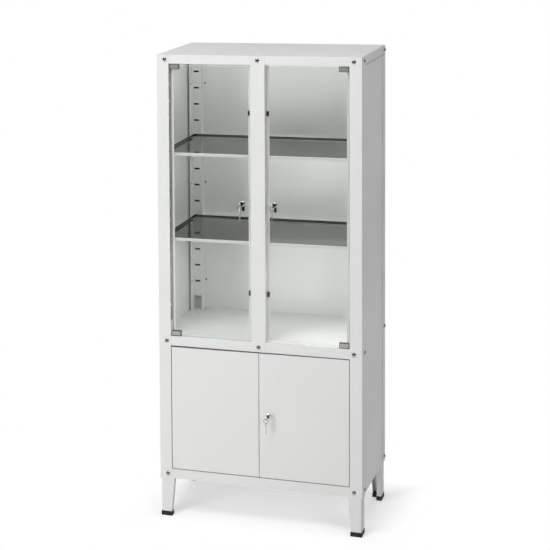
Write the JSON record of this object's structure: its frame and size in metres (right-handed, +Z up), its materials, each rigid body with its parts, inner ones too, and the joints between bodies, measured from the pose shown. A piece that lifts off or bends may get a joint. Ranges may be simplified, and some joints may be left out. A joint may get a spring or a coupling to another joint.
{
  "type": "glass door medical cabinet",
  "caption": "Tall white sheet-steel medical cabinet on tapered legs, with glass doors over mirror-bright shelves, steel doors below, and cam locks with keys.",
  "frame": {"origin": "on the floor, under the middle of the whole outline, keys included, 20.75 mm in front of the middle of the casing", "axes": "+X to the right seen from the front, +Y towards the back, +Z up; the doors face -Y"},
  "size_m": [0.8, 0.4415, 1.8],
  "materials": {
    "white_paint": "satin white powder coat",
    "polished_steel": "mirror-bright stainless steel",
    "clip_metal": "satin grey metal",
    "zinc_steel": "zinc-plated steel",
    "chrome_plate": "bright plating",
    "black_rubber": "matt black",
    "clear_glass": "clear float glass with a slight green tint"
  },
  "bodies": {
    "cabinet": {"top_panel": "white_paint", "mid_floor": "white_paint", "bottom_floor": "white_paint", "side_panel_left": "white_paint", "side_panel_right": "white_paint", "back_panel": "white_paint", "post_front_left": "white_paint", "post_rear_left": "white_paint", "post_front_right": "white_paint", "post_rear_right": "white_paint", "mullion": "white_paint", "shelf_upright_front_left": "white_paint", "shelf_upright_rear_left": "white_paint", "shelf_upright_front_right": "white_paint", "shelf_upright_rear_right": "white_paint", "shelf_upper": "polished_steel", "shelf_lower": "polished_steel", "leg_front_left": "white_paint", "leg_rear_left": "white_paint", "leg_front_right": "white_paint", "leg_rear_right": "white_paint", "foot_cap_front_left": "black_rubber", "foot_cap_rear_left": "black_rubber", "foot_cap_front_right": "black_rubber", "foot_cap_rear_right": "black_rubber", "bumper_left_upper": "black_rubber", "bumper_left_lower": "black_rubber", "bumper_right_upper": "black_rubber", "bumper_right_lower": "black_rubber", "lock_strike_left": "zinc_steel", "lock_strike_right": "zinc_steel", "glass_pivot_left_bottom": "zinc_steel", "glass_pivot_left_top": "zinc_steel", "glass_pivot_right_bottom": "zinc_steel", "glass_pivot_right_top": "zinc_steel", "door_pivot_left_bottom": "zinc_steel", "door_pivot_left_top": "zinc_steel", "door_pivot_right_bottom": "zinc_steel", "door_pivot_right_top": "zinc_steel"},
    "glass_door_left": {"glass_pane_left": "clear_glass", "glass_clip_left_bottom": "clip_metal", "glass_clip_left_top": "clip_metal", "lock_glass_left": "chrome_plate"},
    "glass_door_right": {"glass_pane_right": "clear_glass", "glass_clip_right_bottom": "clip_metal", "glass_clip_right_top": "clip_metal", "lock_glass_right": "chrome_plate"},
    "steel_door_left": {"steel_door_left": "white_paint"},
    "steel_door_right": {"steel_door_right": "white_paint", "lock_steel_door": "chrome_plate"},
    "lock_turn_glass_left": {"lock_core_glass_left": "zinc_steel", "key_glass_left": "chrome_plate"},
    "lock_turn_glass_right": {"lock_core_glass_right": "zinc_steel", "key_glass_right": "chrome_plate"},
    "lock_turn_steel_door": {"lock_core_steel_door": "zinc_steel", "key_steel_door": "chrome_plate"},
    "spare_key_glass_left": {"spare_key_glass_left": "chrome_plate"},
    "spare_key_glass_right": {"spare_key_glass_right": "chrome_plate"},
    "spare_key_steel_door": {"spare_key_steel_door": "chrome_plate"}
  },
  "joints": [
    {"name": "glass_door_left_hinge", "type": "hinge", "parent": "cabinet", "child": "glass_door_left", "pos_m": [-0.3435, -0.17175, 1.239], "axis": [0, 0, -1], "range_deg": [0, 100]},
    {"name": "glass_door_right_hinge", "type": "hinge", "parent": "cabinet", "child": "glass_door_right", "pos_m": [0.3435, -0.17175, 1.239], "axis": [0, 0, 1], "range_deg": [0, 100]},
    {"name": "steel_door_left_hinge", "type": "hinge", "parent": "cabinet", "child": "steel_door_left", "pos_m": [-0.343, -0.17225, 0.431], "axis": [0, 0, -1], "range_deg": [0, 100]},
    {"name": "steel_door_right_hinge", "type": "hinge", "parent": "cabinet", "child": "steel_door_right", "pos_m": [0.343, -0.17225, 0.431], "axis": [0, 0, 1], "range_deg": [0, 100]},
    {"name": "key_turn_glass_left", "type": "hinge", "parent": "glass_door_left", "child": "lock_turn_glass_left", "pos_m": [-0.063, -0.17425, 1.239], "axis": [0, -1, 0], "range_deg": [0, 90]},
    {"name": "key_turn_glass_right", "type": "hinge", "parent": "glass_door_right", "child": "lock_turn_glass_right", "pos_m": [0.063, -0.17425, 1.239], "axis": [0, 1, 0], "range_deg": [0, 90]},
    {"name": "key_turn_steel_door", "type": "hinge", "parent": "steel_door_right", "child": "lock_turn_steel_door", "pos_m": [0.037, -0.17895, 0.431], "axis": [0, 1, 0], "range_deg": [0, 90]},
    {"name": "spare_key_swing_glass_left", "type": "hinge", "parent": "glass_door_left", "child": "spare_key_glass_left", "pos_m": [-0.063, -0.20605, 1.239], "axis": [0, 1, 0], "range_deg": [-45, 45]},
    {"name": "spare_key_swing_glass_right", "type": "hinge", "parent": "glass_door_right", "child": "spare_key_glass_right", "pos_m": [0.063, -0.20605, 1.239], "axis": [0, 1, 0], "range_deg": [-45, 45]},
    {"name": "spare_key_swing_steel_door", "type": "hinge", "parent": "steel_door_right", "child": "spare_key_steel_door", "pos_m": [0.037, -0.21075, 0.431], "axis": [0, 1, 0], "range_deg": [-45, 45]}
  ]
}
